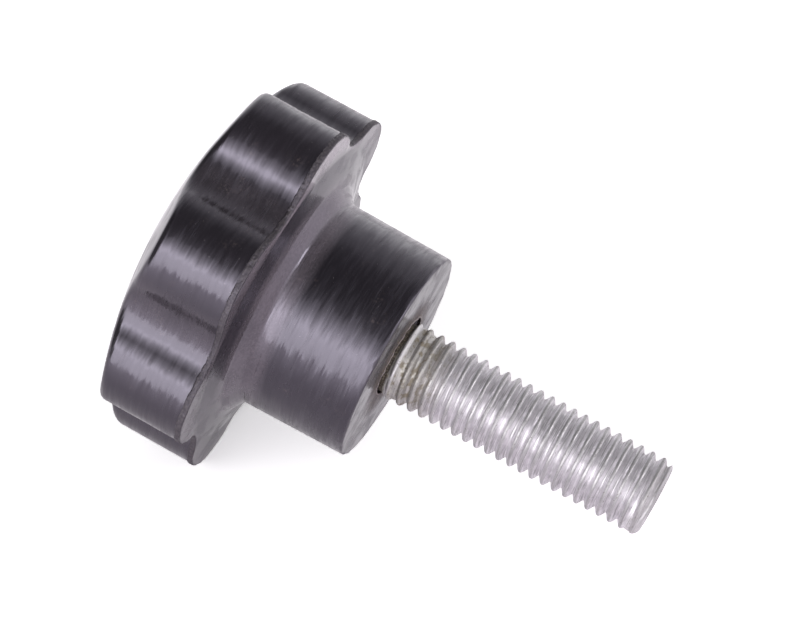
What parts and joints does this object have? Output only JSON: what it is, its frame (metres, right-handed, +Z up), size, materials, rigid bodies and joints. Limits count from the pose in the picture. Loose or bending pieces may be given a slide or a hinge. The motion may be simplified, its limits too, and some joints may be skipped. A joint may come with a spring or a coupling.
{
  "type": "thumb screw",
  "caption": "Lobed hand knob in black phenolic with a domed front and a deep hub, moulded round a zinc-plated threaded steel stud, lying at rest.",
  "frame": {"origin": "centre of the object's footprint, on the surface that it lies on", "axes": "+X towards the tip of the stud, as seen from above; +Z up; the object is as it comes to rest, on two lobes and the tip of the stud, so the stud's axis dips 19.4 degrees below +X"},
  "size_m": [0.0678, 0.0476, 0.0474],
  "materials": {
    "phenolic": "moulded phenolic, polished, with fine hairline scratches and a worn rear edge",
    "zinc_steel": "bright zinc plating, dull and stained near the hub"
  },
  "bodies": {
    "root": {"knob": "phenolic", "stud": "zinc_steel"}
  },
  "joints": []
}
